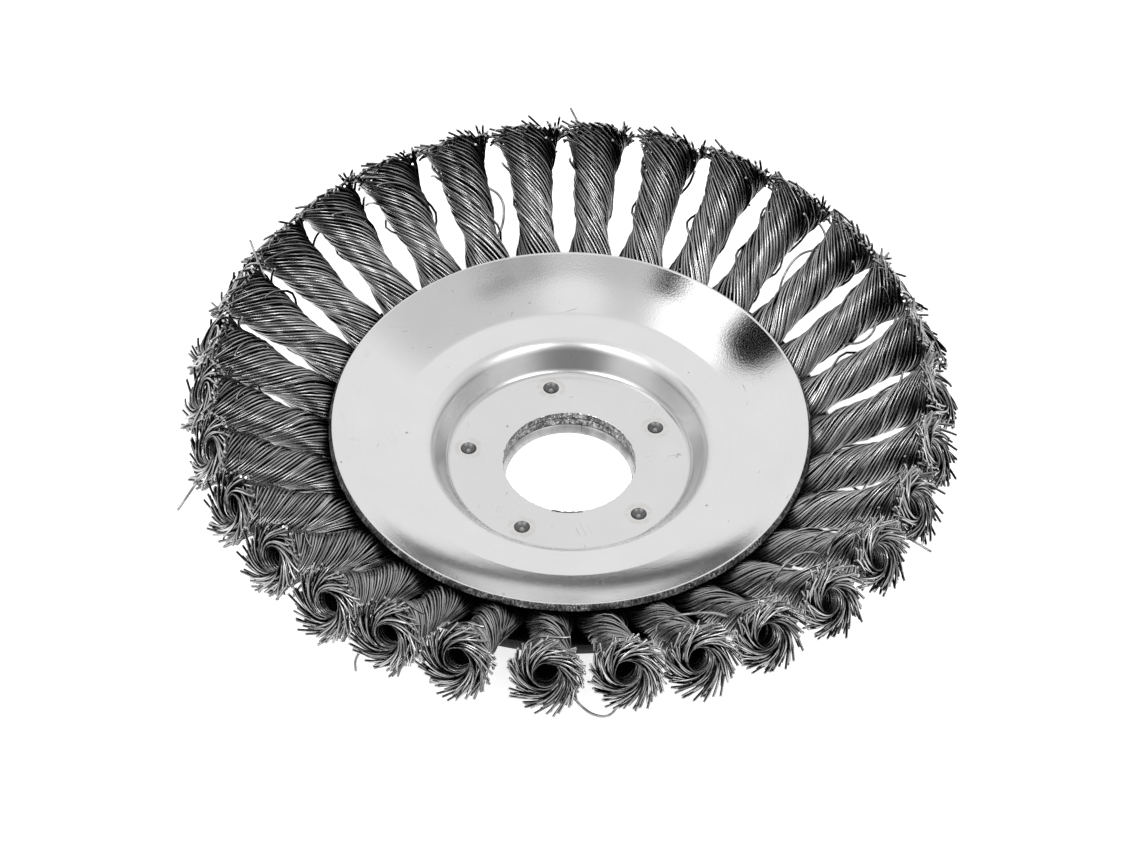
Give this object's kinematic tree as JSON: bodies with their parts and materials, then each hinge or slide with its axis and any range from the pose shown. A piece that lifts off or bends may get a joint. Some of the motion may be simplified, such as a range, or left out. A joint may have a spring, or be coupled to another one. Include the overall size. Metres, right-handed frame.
{
  "type": "wire wheel brush",
  "caption": "Dished twist-knot wire wheel brush: two pressed steel plates clamp a carrier whose ring of holes holds twisted wire knots, flared at their tips, round a plain bore.",
  "frame": {"origin": "centre of the bore, in the plane of the underside of the hub", "axes": "+Z along the spindle, towards the dished side; the knots lie round it"},
  "size_m": [0.1482, 0.1484, 0.0314],
  "materials": {
    "zinc_plated_steel": "bright zinc, satin, with faint speckle",
    "blackened_steel": "black, half matt",
    "steel_wire": "drawn carbon steel wire, grey, glossy along the wires"
  },
  "bodies": {
    "root": {"upper_plate": "zinc_plated_steel", "carrier_plate": "zinc_plated_steel", "lower_plate": "blackened_steel", "bore_bush": "zinc_plated_steel", "knot_01": "steel_wire", "knot_02": "steel_wire", "knot_03": "steel_wire", "knot_04": "steel_wire", "knot_05": "steel_wire", "knot_06": "steel_wire", "knot_07": "steel_wire", "knot_08": "steel_wire", "knot_09": "steel_wire", "knot_10": "steel_wire", "knot_11": "steel_wire", "knot_12": "steel_wire", "knot_13": "steel_wire", "knot_14": "steel_wire", "knot_15": "steel_wire", "knot_16": "steel_wire", "knot_17": "steel_wire", "knot_18": "steel_wire", "knot_19": "steel_wire", "knot_20": "steel_wire", "knot_21": "steel_wire", "knot_22": "steel_wire", "knot_23": "steel_wire", "knot_24": "steel_wire", "knot_25": "steel_wire", "knot_26": "steel_wire", "knot_27": "steel_wire", "knot_28": "steel_wire", "knot_29": "steel_wire", "knot_30": "steel_wire"}
  },
  "joints": []
}
